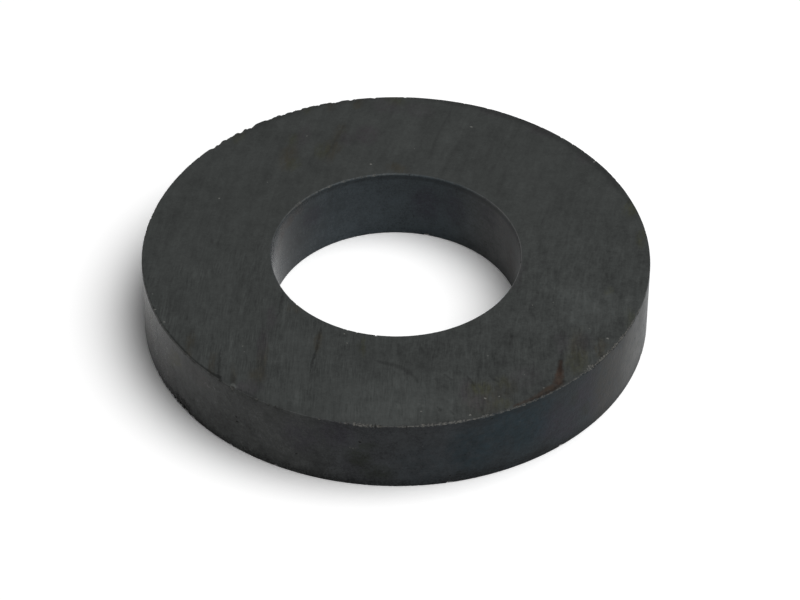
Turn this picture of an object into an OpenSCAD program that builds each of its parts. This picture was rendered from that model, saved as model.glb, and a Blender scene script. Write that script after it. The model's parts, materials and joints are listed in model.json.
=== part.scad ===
// Ring magnet of sintered hard ferrite.
// One solid: a plain ring whose two pole faces are ground flat, with straight fired walls.
// Millimetres, +Z along the bore, origin at the centre of the lower pole face.

/* [Ring] */
// Outer diameter
ring_d = 65; // [40:0.5:120]
// Bore diameter
bore_d = 32; // [8:0.5:36]
// Thickness from pole face to pole face
ring_t = 10; // [4:0.5:30]

/* [Arrises] */
// Width of the edge break where the outer wall meets a pole face
outer_break = 0.2; // [0.05:0.05:0.6]
// Width of the edge break at each mouth of the bore
bore_break = 0.25; // [0.05:0.05:0.6]

/* [Nicks] */
// Length of every nick, as a multiple of the length in its table
nick_length = 1; // [0.8:0.1:1.5]
// Reach of every nick, as a multiple of the reach in its table
nick_reach = 1; // [0.5:0.1:1.5]

/* [Hidden] */
$fn = 180;
ring_r = ring_d / 2;
bore_r = bore_d / 2;

// Nicks in the outer arris of the upper pole face:
// [degrees round from +X, length along the arris, reach past the edge break]
upper_nicks = [
    [104.6, 1.8, 0.10],
    [116.2, 4.0, 0.15],
    [127.3, 1.9, 0.32],
    [129.7, 1.8, 0.35],
    [135.5, 5.0, 0.20],
    [166.6, 3.2, 0.12],
    [228.5, 1.2, 0.18],
    [315.4, 1.0, 0.15],
    [318.2, 1.6, 0.45],
    [323.4, 1.4, 0.15]
];
// The same for the lower pole face
lower_nicks = [
    [204.2, 1.2, 0.18],
    [207.6, 1.5, 0.24],
    [211.3, 1.7, 0.28],
    [215.8, 1.3, 0.20]
];

// Section of the ring on one side of its axis, with its four edge breaks
module ring_section() {
    polygon([
        [bore_r + bore_break, 0],
        [ring_r - outer_break, 0],
        [ring_r, outer_break],
        [ring_r, ring_t - outer_break],
        [ring_r - outer_break, ring_t],
        [bore_r + bore_break, ring_t],
        [bore_r, ring_t - bore_break],
        [bore_r, bore_break]
    ]);
}

// A shell-shaped bite out of an arris that runs along Y through the origin,
// with the solid on its -X and -Z sides. The bite reaches as far across one face as the other.
module nick(length, reach) {
    // how far outside both faces the centre of the bite stands
    standoff = (pow(length / 2, 2) / reach - reach - 2 * outer_break) / 2;
    bite_r = sqrt(pow(standoff, 2) + pow(standoff + outer_break + reach, 2));
    translate([standoff, 0, standoff])
        sphere(r = bite_r);
}

// The nicks of one table, round the upper outer arris
module arris_nicks(table) {
    for (n = table)
        rotate([0, 0, n[0]])
            translate([ring_r, 0, ring_t])
                nick(n[1] * nick_length, n[2] * nick_reach);
}

module ring_magnet() {
    color([0.22, 0.23, 0.23])
        difference() {
            rotate_extrude()
                ring_section();
            arris_nicks(upper_nicks);
            // turned over, the same tool reaches the lower arris
            translate([0, 0, ring_t])
                mirror([0, 0, 1])
                    arris_nicks(lower_nicks);
        }
}

ring_magnet();
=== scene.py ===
import json
import math

import bpy
import numpy as np
from mathutils import Matrix, Vector, noise


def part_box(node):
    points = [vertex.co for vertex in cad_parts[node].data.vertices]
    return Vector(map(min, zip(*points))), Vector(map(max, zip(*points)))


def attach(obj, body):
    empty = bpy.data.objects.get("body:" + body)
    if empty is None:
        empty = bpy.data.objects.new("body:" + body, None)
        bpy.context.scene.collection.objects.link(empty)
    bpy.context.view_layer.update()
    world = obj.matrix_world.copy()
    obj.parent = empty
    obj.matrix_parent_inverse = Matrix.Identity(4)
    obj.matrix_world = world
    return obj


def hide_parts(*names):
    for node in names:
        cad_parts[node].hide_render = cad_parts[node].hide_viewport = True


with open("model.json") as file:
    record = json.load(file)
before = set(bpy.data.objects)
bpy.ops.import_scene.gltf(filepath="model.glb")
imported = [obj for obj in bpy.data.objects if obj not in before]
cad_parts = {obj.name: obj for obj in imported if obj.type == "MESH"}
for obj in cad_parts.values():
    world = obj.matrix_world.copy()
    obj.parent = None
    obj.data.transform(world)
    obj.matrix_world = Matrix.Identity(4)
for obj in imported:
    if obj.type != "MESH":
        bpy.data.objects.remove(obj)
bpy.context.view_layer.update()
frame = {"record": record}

# A ring magnet of sintered ferrite: ground pole faces, satin fired walls, chipped arrises.
# Blender works in metres. The tables below are in millimetres and in degrees round from +X.
mm = 0.001
turn = 2 * math.pi
boreUnder = 0.05  # the bore is drawn this much under the record's radius; 0 draws it as recorded

low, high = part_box("ring_magnet")
mounts = {mount["name"]: mount for mount in frame["record"]["mounts"]}
rimRadius = mounts["rim"]["dims"]["r_mm"]
boreRadius = mounts["bore"]["dims"]["r_mm"] - boreUnder
lowFace = low.z / mm
topFace = high.z / mm
print(f"ring {2 * rimRadius:g} x {2 * boreRadius:g} x {topFace - lowFace:g} mm")


# ring body

ringBody = {
    "upperRim": {
        "segments": 2048,
        "edgeBreak": 0.16,  # radius of the worn arris
        "wander": 0.3,  # how much that radius changes round the ring, as a share
        "seed": 3,
        "onFace": [1.5, 1.1, 0.85, 0.66, 0.51, 0.39, 0.29, 0.2, 0.13, 0.06],
        "onWall": [0.06, 0.13, 0.2, 0.29, 0.4, 0.56, 0.8, 1.2],
        # chips: degrees, length, reach in across the face, reach down the wall, how pale
        "chips": [
            (95.5, 0.7, 0.28, 0.26, 0.3), (101, 0.9, 0.28, 0.26, 0.3), (103.9, 0.9, 0.3, 0.28, 0.3),
            (105.1, 1.1, 0.33, 0.3, 0.3), (109.2, 1, 0.27, 0.25, 0.3), (113.9, 1.1, 0.32, 0.3, 0.3),
            (115.6, 1.4, 0.3, 0.28, 0.3), (117.8, 1.3, 0.4, 0.34, 0.4), (121.6, 1.7, 0.28, 0.26, 0.3),
            (126.6, 1.5, 0.55, 0.46, 0.5), (127.8, 0.9, 0.42, 0.36, 0.4), (129.6, 1.3, 0.56, 0.44, 0.5),
            (132.2, 1.2, 0.4, 0.34, 0.4), (133.9, 1.5, 0.36, 0.32, 0.4), (136.4, 1.3, 0.42, 0.36, 0.4),
            (138.3, 1.6, 0.38, 0.34, 0.4), (164.9, 1.7, 0.31, 0.3, 0.3), (167, 1.6, 0.33, 0.3, 0.3),
            (171.9, 0.9, 0.3, 0.28, 0.3), (173.3, 0.9, 0.28, 0.28, 0.3), (204.6, 0.5, 0.22, 0.18, 0),
            (216.8, 0.6, 0.24, 0.2, 0), (228.4, 0.7, 0.34, 0.34, 0), (232.1, 0.8, 0.26, 0.5, 0.7),
            (238.6, 0.4, 0.24, 0.3, 0.4), (253.5, 0.5, 0.24, 0.24, 0.5), (261.2, 0.45, 0.41, 0.24, 1),
            (262.5, 0.6, 0.36, 0.24, 1), (263.3, 0.6, 0.4, 0.24, 1), (264.1, 0.5, 0.35, 0.22, 0.9),
            (264.8, 0.6, 0.38, 0.24, 1), (265.5, 0.4, 0.34, 0.22, 0.8), (268.2, 0.4, 0.28, 0.2, 0.5),
            (271.7, 0.6, 0.29, 0.2, 0.6), (274.1, 0.3, 0.28, 0.2, 0.6), (276.1, 0.75, 0.34, 0.22, 1),
            (277.2, 0.55, 0.31, 0.2, 0.8), (278.2, 0.65, 0.33, 0.22, 0.9), (279.9, 0.7, 0.35, 0.22, 1),
            (280.9, 0.8, 0.36, 0.24, 1), (282.1, 0.75, 0.34, 0.22, 1), (283.1, 0.7, 0.37, 0.24, 1),
            (284.1, 0.6, 0.34, 0.22, 1), (285.2, 0.75, 0.35, 0.22, 1), (287.4, 0.4, 0.31, 0.2, 0.7),
            (289.4, 0.6, 0.35, 0.26, 1), (290.3, 0.55, 0.39, 0.26, 1), (291.6, 0.6, 0.31, 0.2, 0.7),
            (293.4, 0.8, 0.26, 0.2, 0.6), (295.4, 1, 0.27, 0.2, 0.7), (297.4, 0.7, 0.26, 0.2, 0.6),
            (299, 1.1, 0.25, 0.22, 0.7), (300.2, 0.9, 0.24, 0.2, 0.6), (301.8, 1.2, 0.23, 0.2, 0.5),
            (303.9, 1.1, 0.24, 0.2, 0.5), (306.5, 1.2, 0.25, 0.22, 0.5), (308.6, 0.6, 0.25, 0.2, 0.4),
            (311, 0.6, 0.24, 0.2, 0.6), (312, 0.5, 0.23, 0.2, 0.5), (312.9, 0.6, 0.26, 0.22, 0.7),
            (314, 0.6, 0.25, 0.22, 0.5), (315.2, 0.7, 0.26, 0.22, 0.6), (316.5, 0.6, 0.3, 0.25, 0.8),
            (317.5, 0.6, 0.54, 0.39, 1), (318.3, 0.7, 0.74, 0.43, 1), (319, 0.45, 0.46, 0.33, 1),
            (320.7, 0.3, 0.28, 0.25, 0.6), (322.3, 0.6, 0.35, 0.29, 1), (323.2, 0.65, 0.37, 0.29, 1),
            (324.9, 0.9, 0.34, 0.29, 0.8), (327.5, 1.1, 0.3, 0.26, 0.9), (330.3, 1.2, 0.3, 0.26, 0.9),
            (339.5, 0.6, 0.25, 0.22, 0.3), (352, 0.9, 0.27, 0.24, 0.4),
        ],
        # stretches of crumbs: from, to, how many, longest, furthest reach, how pale
        "crumbs": [
            (0, 92, 24, 0.6, 0.05, 0.3), (92, 180, 30, 0.7, 0.06, 0.3), (180, 230, 18, 0.5, 0.05, 0),
            (230, 258, 14, 0.4, 0.05, 0.3), (258, 292, 60, 0.35, 0.07, 0.9),
            (292, 314, 26, 0.35, 0.05, 0.4), (314, 334, 34, 0.4, 0.07, 0.8),
            (334, 360, 10, 0.5, 0.05, 0.3), (261.6, 267.2, 26, 0.5, 0.26, 1),
            (319, 337, 34, 0.5, 0.12, 1),
        ],
        # how pale the arris itself is, by degrees: worn, and from 190 to 222 degrees also a painted
        # highlight
        "wear": [
            (0, 0.12), (90, 0.1), (176, 0.03), (184, 0.06), (190, 0.22), (200, 0.3), (212, 0.26),
            (222, 0.2), (228, 0.1), (232, 0.05), (256, 0.06), (260.8, 0.15), (261.6, 0.95), (267, 0.9),
            (267.8, 0.35), (270.5, 0.35), (272, 0.7), (276, 0.9), (288, 0.9), (294, 0.5), (304, 0.45),
            (312, 0.65), (318, 1), (330, 1), (338, 0.6), (360, 0.12),
        ],
    },
    "lowerRim": {
        "segments": 2048,
        "edgeBreak": 0.07,
        "wander": 0.35,
        "seed": 11,
        "onFace": [0.9, 0.42, 0.2, 0.08],
        "onWall": [0.05, 0.12, 0.22, 0.35, 0.5, 0.68, 0.9, 1.15, 1.4, 1.7],
        "chips": [
            (201.5, 0.6, 0.36, 0.3, 0), (203.6, 0.7, 0.4, 0.34, 0), (206, 0.5, 0.36, 0.38, 0),
            (207.8, 0.7, 0.44, 0.34, 0), (208.8, 0.4, 0.38, 0.46, 0), (210.3, 0.8, 0.46, 0.38, 0),
            (211.7, 0.7, 0.5, 0.5, 0), (213, 0.5, 0.42, 0.4, 0), (213.9, 0.6, 0.46, 0.6, 0),
            (215.7, 0.5, 0.4, 0.72, 0), (216.5, 0.6, 0.44, 0.56, 0), (218.9, 0.5, 0.4, 0.48, 0),
            (231, 0.6, 0.3, 0.3, 0.1), (243, 0.7, 0.28, 0.28, 0.1), (282, 0.9, 0.29, 0.28, 0.2),
            (309.5, 0.8, 0.28, 0.28, 0.2), (345, 0.9, 0.34, 0.3, 0.3), (17, 1.2, 0.4, 0.36, 0.3),
            (62, 1, 0.36, 0.32, 0.3), (108, 1.5, 0.42, 0.38, 0.3), (149, 1, 0.36, 0.34, 0.3),
        ],
        "crumbs": [
            (0, 195, 40, 0.6, 0.05, 0.3), (195, 222, 40, 0.5, 0.12, 0), (222, 360, 30, 0.4, 0.02, 0.2),
        ],
        "wear": [(0, 0.1), (180, 0.04), (230, 0.02), (270, 0.06), (360, 0.1)],
    },
    "upperBore": {
        "segments": 1024,
        "edgeBreak": 0.18,
        "deeperBack": 0.33,  # share more at the back and less at the front
        "wander": 0.18,
        "seed": 23,
        "onFace": [1.2, 0.72, 0.46, 0.3, 0.18, 0.08],
        "onWall": [0.08, 0.18, 0.3, 0.5, 1],
        "chips": [
            (84, 0.6, 0.3, 0.28, 0.4), (100.5, 0.8, 0.31, 0.28, 0.7), (106.6, 0.7, 0.32, 0.28, 0.7),
            (115, 0.9, 0.31, 0.28, 0.6), (123, 0.7, 0.31, 0.28, 0.7), (141, 0.8, 0.32, 0.3, 0.7),
            (143.6, 0.8, 0.32, 0.3, 0.7),
        ],
        "crumbs": [(60, 160, 40, 0.5, 0.04, 0.7), (160, 420, 20, 0.4, 0.015, 0.3)],
        "wear": [
            (0, 0.1), (40, 0.1), (62, 0.15), (85, 0.3), (100, 0.42), (125, 0.4), (146, 0.5), (156, 0.25),
            (190, 0.1), (360, 0.1),
        ],
    },
    "lowerBore": {
        "segments": 1024,
        "edgeBreak": 0.07,
        "wander": 0.25,
        "seed": 31,
        "onFace": [0.8, 0.36, 0.15, 0.05],
        "onWall": [0.05, 0.15, 0.36, 0.8],
        "chips": [(75, 0.9, 0.36, 0.32, 0.3), (205, 1, 0.38, 0.34, 0.3)],
        "crumbs": [(0, 360, 40, 0.5, 0.05, 0.3)],
        "wear": [(0, 0.1), (360, 0.1)],
    },
    "faceCourses": [21.5, 27],  # radii of the courses between the two arrises of a pole face
    "wallCourses": [5.2],  # heights of those on the outer wall
    "chipCurve": 1.35,  # 1 is a flat facet, 2 a round scoop
    "chipGrit": 0.03,  # roughness of a broken surface
    "gritSize": 0.22,
    "pivot": 1.3,  # how deep under both surfaces an arris's section is drawn from
    "breakKnots": (37, 260),  # slow and quick changes of an edge break round the ring
    "wearKnots": 300,
    "chipKnots": 900,
    "arrisEdge": 0.05,  # how far down the grinding of a pole face still shows on its arris
    "sharpAngle": 38,
}


# a smooth random wave round the ring, from -1 to 1, that meets itself
def wander(angles, knots, seed):
    values = np.random.default_rng(seed).uniform(-1, 1, knots)
    place = angles / turn * knots
    first = np.floor(place).astype(int)
    blend = place - first
    blend = blend * blend * (3 - 2 * blend)
    return values[first % knots] * (1 - blend) + values[(first + 1) % knots] * blend


def smoothStep(value, start, end):
    share = np.clip((value - start) / (end - start), 0, 1)
    return share * share * (3 - 2 * share)


# every chip and crumb of an arris, as rows of degrees, length, two reaches and paleness
def allChips(arris):
    dice = np.random.default_rng(arris["seed"])
    rows = list(arris["chips"])
    for start, end, count, longest, furthest, pale in arris["crumbs"]:
        for place in dice.uniform(start, end, count):
            length = longest * dice.uniform(0.3, 1.0)
            reach = furthest * dice.uniform(0.2, 1.0) ** 1.5 + arris["edgeBreak"]
            down = reach * dice.uniform(0.7, 1.2)
            rows.append((place, length, reach, down, pale * dice.uniform(0.3, 1.0)))
    return rows


# how far the chips reach across the face and down the wall at each angle, and how pale they are
def chipReach(arris, angles, radius):
    inward = np.full(angles.shape, 1e-4)
    down = np.full(angles.shape, 1e-4)
    pale = np.zeros(angles.shape)
    for index, (place, length, acrossFace, downWall, paleness) in enumerate(allChips(arris)):
        away = (angles - math.radians(place) + math.pi) % turn - math.pi
        share = np.abs(away * radius / (length / 2))
        lobe = np.clip(1 - share ** 1.8, 0, 1) ** 0.7
        lobe *= 0.9 + 0.3 * wander(angles, ringBody["chipKnots"], 100 * arris["seed"] + index)
        deeper = acrossFace * lobe > inward
        inward = np.where(deeper, acrossFace * lobe, inward)
        down = np.maximum(down, downWall * lobe)
        pale = np.where(deeper & (share < 1), paleness, pale)
    return inward, down, pale


# True where a point is still ferrite, a in from the wall and b in from the pole face
def isSolid(a, b, edgeBreak, inward, down, curve):
    inCorner = (a < edgeBreak) & (b < edgeBreak)
    worn = inCorner & ((edgeBreak - a) ** 2 + (edgeBreak - b) ** 2 > edgeBreak ** 2)
    chipped = (np.maximum(a, 0) / inward) ** curve + (np.maximum(b, 0) / down) ** curve < 1
    return ~(worn | chipped)


# the courses of one arris, from the pole face over the corner to the wall
# side is 1 on the rim and -1 in the bore; up is 1 on the upper pole face and -1 on the lower
def arrisCourses(arris, radius, face, side, up):
    count = arris["segments"]
    angles = np.arange(count) * turn / count
    slow, quick = ringBody["breakKnots"]
    size = arris["edgeBreak"] * (1 + arris["wander"] * (
        0.6 * wander(angles, slow, arris["seed"] + 1) + 0.4 * wander(angles, quick, arris["seed"] + 2)))
    size *= 1 + arris.get("deeperBack", 0) * np.sin(angles)
    inward, down, pale = chipReach(arris, angles, radius)
    # paleness of the worn arris; on the upper rim's left it is partly a painted highlight
    degrees, levels = zip(*arris["wear"])
    wear = np.interp(np.degrees(angles), degrees, levels)
    wear = wear * (1 + 0.5 * wander(angles, ringBody["wearKnots"], arris["seed"] + 4))
    pivot = ringBody["pivot"]
    targets = [(place, 0, place) for place in arris["onFace"]] + [(0, 0, 0)]
    targets += [(0, place, -place) for place in arris["onWall"]]
    courses = []
    for targetA, targetB, along in targets:
        reach = []  # how much of the way to the target is ferrite, without the chips and with them
        for chipIn, chipDown in ((1e-6, 1e-6), (inward, down)):
            inside, outside = np.zeros(count), np.ones(count)
            for halving in range(24):
                middle = (inside + outside) / 2
                a = pivot + (targetA - pivot) * middle
                b = pivot + (targetB - pivot) * middle
                solid = isSolid(a, b, size, chipIn, chipDown, ringBody["chipCurve"])
                inside = np.where(solid, middle, inside)
                outside = np.where(solid, outside, middle)
            reach.append(inside)
        full = math.hypot(targetA - pivot, targetB - pivot)
        dug = (reach[0] - reach[1]) * full
        broken = smoothStep(dug, 0.004, 0.03)
        worn = smoothStep((1 - reach[0]) * full, 0.003, 0.03)
        grit = np.zeros(count)
        for spot in np.flatnonzero(broken > 0):
            angle = angles[spot]
            place = Vector((radius * math.cos(angle), radius * math.sin(angle), along + 7 * up))
            grit[spot] = noise.fractal(place / ringBody["gritSize"], 0.8, 2.0, 3)
        share = reach[1] - ringBody["chipGrit"] * broken * (0.35 + 0.65 * grit) / full
        a = np.maximum(pivot + (targetA - pivot) * share, 0)
        b = np.maximum(pivot + (targetB - pivot) * share, 0)
        courses.append({
            "radius": radius - side * a,
            "height": face - up * b,
            "along": along,
            "ground": np.clip(1 - b / ringBody["arrisEdge"], 0, 1) * (targetB == 0) * (1 - worn),
            "pale": np.clip(np.maximum(broken * pale, worn * wear), 0, 1),
            "broken": broken,
        })
    return courses


def plainCourse(count, radius, height, along, ground):
    same = np.ones(count)
    return {"radius": radius * same, "height": height * same, "along": along,
            "ground": ground * same, "pale": 0 * same, "broken": 0 * same}


# strips of the flat map: which rows of it they fill, and how many turns one row holds
mapSize = 1024
mapEdge = 5  # clear border
mapStrips = {
    "upperFace": {"bottom": 793, "height": 226, "rows": 2},
    "outerWall": {"bottom": 429, "height": 118, "rows": 2},
    "lowerFace": {"bottom": 161, "height": 130, "rows": 1},
    "boreWall": {"bottom": 15, "height": 136, "rows": 1},
}
rowGap = 10


def mapPlace(strip, angle, share, row):
    layout = mapStrips[strip]
    perRow = turn / layout["rows"]
    u = mapEdge + (angle - row * perRow) / perRow * (mapSize - 2 * mapEdge)
    v = layout["bottom"] - row * (layout["height"] + rowGap) + share * layout["height"]
    return np.stack([u, v + 0 * u], -1) / mapSize


# the faces between two courses that follow each other round the section, with their map places
def bridge(first, second, strip):
    rough, fine = min(first["count"], second["count"]), max(first["count"], second["count"])
    step = np.arange(rough)
    share = {id(first): first["share"][strip], id(second): second["share"][strip]}
    corners = []  # each face's corners as (course, index)
    if rough == fine:
        corners.append([(first, step), (second, step), (second, step + 1), (first, step + 1)])
    elif first["count"] == fine:
        corners.append([(first, 2 * step), (second, step), (first, 2 * step + 1)])
        corners.append([(first, 2 * step + 1), (second, step), (second, step + 1)])
        corners.append([(first, 2 * step + 1), (second, step + 1), (first, 2 * step + 2)])
    else:
        corners.append([(first, step), (second, 2 * step), (second, 2 * step + 1)])
        corners.append([(first, step), (second, 2 * step + 1), (first, step + 1)])
        corners.append([(first, step + 1), (second, 2 * step + 1), (second, 2 * step + 2)])
    faces, places = [], []
    row = step * mapStrips[strip]["rows"] // rough
    for group in corners:
        index = np.stack([course["start"] + i % course["count"] for course, i in group], -1)
        spots = np.stack([mapPlace(strip, i * turn / course["count"], share[id(course)], row)
                          for course, i in group], 1)
        faces += index.tolist()
        places.append(spots.reshape(-1, 2))
    return faces, places


def addObject(name, data):
    thing = bpy.data.objects.new(name, data)
    bpy.context.scene.collection.objects.link(thing)
    return thing


def buildRing():
    thick, width = topFace - lowFace, rimRadius - boreRadius
    # share says where a course lies on each strip that it belongs to, from 0 to 1
    arrises = {}
    for name, radius, face, side, up in (
            ("upperRim", rimRadius, topFace, 1, 1), ("lowerRim", rimRadius, lowFace, 1, -1),
            ("lowerBore", boreRadius, lowFace, -1, -1), ("upperBore", boreRadius, topFace, -1, 1)):
        courses = arrisCourses(ringBody[name], radius, face, side, up)
        for course in courses:
            course["share"] = {
                "upperFace" if up > 0 else "lowerFace": abs((side > 0) - max(course["along"], 0) / width),
                "outerWall" if side > 0 else "boreWall": abs((up > 0) - max(-course["along"], 0) / thick),
            }
        arrises[name] = courses if side == up else courses[::-1]
    wall = []
    for height in sorted(ringBody["wallCourses"], reverse=True):
        wall.append(plainCourse(ringBody["upperRim"]["segments"], rimRadius, lowFace + height, -1, 0))
        wall[-1]["share"] = {"outerWall": height / thick}
    over, under = [], []
    for courses, face, strip in ((over, topFace, "upperFace"), (under, lowFace, "lowerFace")):
        for radius in sorted(ringBody["faceCourses"]):
            courses.append(plainCourse(ringBody["upperBore"]["segments"], radius, face, 1, 1))
            courses[-1]["share"] = {strip: (radius - boreRadius) / width}
    section = (arrises["upperRim"] + wall + arrises["lowerRim"] + under[::-1]
               + arrises["lowerBore"] + arrises["upperBore"] + over)

    points, start = [], 0
    for course in section:
        course["start"], course["count"] = start, len(course["radius"])
        angles = np.arange(course["count"]) * turn / course["count"]
        points.append(np.stack([course["radius"] * np.cos(angles), course["radius"] * np.sin(angles),
                                course["height"]], -1))
        start += course["count"]
    faces, places = [], []
    for index, first in enumerate(section):
        second = section[(index + 1) % len(section)]
        strip = [name for name in first["share"] if name in second["share"]]
        if len(strip) > 1:  # an arris lies on two strips, and its side of the corner tells which
            onFace = max(first["along"], second["along"]) > 0
            strip = [name for name in strip if name.endswith("Face") == onFace]
        newFaces, newPlaces = bridge(first, second, strip[0])
        faces += newFaces
        places += newPlaces

    mesh = bpy.data.meshes.new("ferriteRing")
    mesh.from_pydata((np.concatenate(points) * mm).tolist(), [], faces)
    for name in ("ground", "pale", "broken"):
        layer = mesh.attributes.new(name, "FLOAT", "POINT")
        values = np.concatenate([course[name] for course in section])
        layer.data.foreach_set("value", values.astype(np.float32))
    flatMap = mesh.uv_layers.new(name="OFBake")
    flatMap.data.foreach_set("uv", np.concatenate(places).astype(np.float32).ravel())
    mesh.shade_smooth()
    mesh.set_sharp_from_angle(angle=math.radians(ringBody["sharpAngle"]))
    mesh.validate()
    piece = addObject("ferriteRing", mesh)
    triangles = sum(len(face) - 2 for face in faces)
    print(f"ferriteRing: {len(mesh.vertices)} points, {triangles} triangles")
    return piece


# small tools for node trees: each adds its nodes and gives back what comes out of them

def feed(tree, socket, value):
    if isinstance(value, bpy.types.NodeSocket):
        tree.links.new(value, socket)
    else:
        socket.default_value = value


def addNode(tree, kind, **settings):
    node = tree.nodes.new("ShaderNode" + kind)
    for name, value in settings.items():
        setattr(node, name, value)
    return node


def calc(tree, what, first, second=0.5, third=0.5):
    node = addNode(tree, "Math", operation=what)
    for socket, value in zip(node.inputs, (first, second, third)):
        feed(tree, socket, value)
    return node.outputs[0]


def times(tree, first, second):
    return calc(tree, "MULTIPLY", first, second)


def vectorCalc(tree, what, first, second=(0, 0, 0)):
    node = addNode(tree, "VectorMath", operation=what)
    feed(tree, node.inputs[0], first)
    feed(tree, node.inputs["Scale"] if what == "SCALE" else node.inputs[1], second)
    return node.outputs["Value" if what in ("LENGTH", "DISTANCE", "DOT_PRODUCT") else "Vector"]


# goes smoothly from least to most while value goes from start to end
def ramp(tree, value, start, end, least=0.0, most=1.0):
    node = addNode(tree, "MapRange", interpolation_type="SMOOTHSTEP", clamp=False)
    numbers = {"Value": value, "From Min": start, "From Max": end, "To Min": least, "To Max": most}
    for name, number in numbers.items():
        feed(tree, node.inputs[name], number)
    return node.outputs["Result"]


# lumps of noise round 0.5; size is one lump's size, or its size along x, y and z
def cloud(tree, vector, size, detail=2.0, rough=0.5):
    scaled = vectorCalc(tree, "DIVIDE", vector, size if isinstance(size, tuple) else (size,) * 3)
    node = addNode(tree, "TexNoise")
    feed(tree, node.inputs["Vector"], scaled)
    node.inputs["Scale"].default_value = 1.0
    node.inputs["Detail"].default_value = detail
    node.inputs["Roughness"].default_value = rough
    return node.outputs["Fac"]


# the same place, pushed about so that whatever is drawn there gets a ragged edge
def shaken(tree, vector, size, reach):
    noiseColour = cloud(tree, vector, size, 2.0, 0.6).node.outputs["Color"]
    push = vectorCalc(tree, "SUBTRACT", noiseColour, (0.5, 0.5, 0.5))
    return vectorCalc(tree, "ADD", vector, vectorCalc(tree, "SCALE", push, reach))


def mixColour(tree, share, first, second):
    node = addNode(tree, "Mix", data_type="RGBA")
    feed(tree, node.inputs["Factor"], share)
    for socket, value in ((node.inputs[6], first), (node.inputs[7], second)):
        feed(tree, socket, value if isinstance(value, bpy.types.NodeSocket) else (*value, 1.0))
    return node.outputs[2]


def mixValue(tree, share, first, second):
    node = addNode(tree, "Mix")
    feed(tree, node.inputs["Factor"], share)
    feed(tree, node.inputs[2], first)
    feed(tree, node.inputs[3], second)
    return node.outputs[0]


# the largest of several values; a generator keeps each value's nodes next to the one that takes it
def largest(tree, values):
    most = None
    for value in values:
        most = value if most is None else calc(tree, "MAXIMUM", most, value)
    return most


# soft ellipsoids: each row is a centre, three half sizes and the strength at the middle
def softSpots(tree, vector, rows):
    for centre, size, strength in rows:
        local = addNode(tree, "VectorMath", operation="MULTIPLY_ADD")
        feed(tree, local.inputs[0], vector)
        local.inputs[1].default_value = [1 / s for s in size]
        local.inputs[2].default_value = [-c / s for c, s in zip(centre, size)]
        away = vectorCalc(tree, "LENGTH", local.outputs["Vector"])
        yield ramp(tree, away, 1.0, 0.3, 0.0, strength)


# balls with a soft skin: each row is a centre and a radius
def softBalls(tree, vector, rows, soft):
    for centre, radius in rows:
        yield ramp(tree, vectorCalc(tree, "DISTANCE", vector, centre), radius + soft, radius - soft)


# strokes on the upper pole face, drawn through (x, y, half width)
def softStrokes(tree, place, marks):
    for strength, soft, points in marks.values():
        for (startX, startY, startWidth), (endX, endY, endWidth) in zip(points, points[1:]):
            step = Vector((endX - startX, endY - startY, 0))
            offset = vectorCalc(tree, "SUBTRACT", place, (startX, startY, topFace))
            along = vectorCalc(tree, "DOT_PRODUCT", offset, tuple(step / step.length_squared))
            along = calc(tree, "MINIMUM", calc(tree, "MAXIMUM", along, 0.0), 1.0)
            gap = vectorCalc(tree, "DISTANCE", offset, vectorCalc(tree, "SCALE", tuple(step), along))
            width = calc(tree, "MULTIPLY_ADD", along, endWidth - startWidth, startWidth)
            yield ramp(tree, calc(tree, "SUBTRACT", gap, width), soft, -soft * 0.4, 0.0, strength)


# the largest of what makes() yields, worked out in a node group of its own
def gathered(tree, name, vector, makes, *details):
    group = bpy.data.node_groups.new(name, "ShaderNodeTree")
    group.interface.new_socket("Place", in_out="INPUT", socket_type="NodeSocketVector")
    group.interface.new_socket("Share", in_out="OUTPUT", socket_type="NodeSocketFloat")
    start, end = group.nodes.new("NodeGroupInput"), group.nodes.new("NodeGroupOutput")
    feed(group, end.inputs[0], largest(group, makes(group, start.outputs[0], *details)))
    node = addNode(tree, "Group", node_tree=group)
    feed(tree, node.inputs[0], vector)
    return node.outputs[0]


# adds one noise to a tone: the noise swings round 0.5 and the tone round 1
def sway(tree, tone, noiseValue, amount):
    return calc(tree, "MULTIPLY_ADD", calc(tree, "SUBTRACT", noiseValue, 0.5), amount, tone)


# a tone times 1 + depth where share is 1
def shaded(tree, tone, share, depth):
    return times(tree, tone, calc(tree, "MULTIPLY_ADD", share, depth, 1.0))


# paints the spots of a table over a colour; asSpot turns a row into centre, half sizes and strength
def patched(tree, colour, place, patches, tatter, asSpot):
    for name, (tint, rows) in patches.items():
        spots = gathered(tree, name, place, softSpots, [asSpot(*row) for row in rows])
        colour = mixColour(tree, times(tree, spots, tatter), colour, tint)
    return colour


# ground pole faces

groundFinish = {
    "colour": (0.0314, 0.034, 0.0328),
    "roughness": 0.52,
    "arcCentre": (190, -28),  # the grinding arcs turn about this point, far out to the right
    # how strong each layer is: everywhere, more at the front, and more again at the front right
    "mottle": (1.13, 0.15, 0.85),
    "mottleSize": 5.0,
    "grain": (0.4, 0.05, 0),
    "grainSize": 0.26,
    "hair": (0.14, 1.25, -0.6),
    "hairWidth": 0.19,
    "hairLength": 2.0,
    "streak": (0.38, 0.22, 0.5),
    "streakWidth": 0.6,
    "streakLength": 3.6,
    "band": 0.45,
    "bandWidth": 1.6,
    "bandLength": 14.0,
    "front": (16, -12),  # y where the front begins, and where it's reached
    "right": (-16, 28),  # x in the same way
    "frontTone": 0.04,
    "darkest": 0.15,
    "grime": -0.72,
    "rustLeast": 0.75,  # rust tatters no further than this
    "specks": 0.8,
    "speckColour": (0.15, 0.15, 0.14),
    "hairRoughness": 0.25,
    "hairBump": 0.004,
    "grainBump": 0.008,
}
spotSpread = 1.35  # a spot fades out at this many of its half sizes
zoneSpread = 1.3
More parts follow.
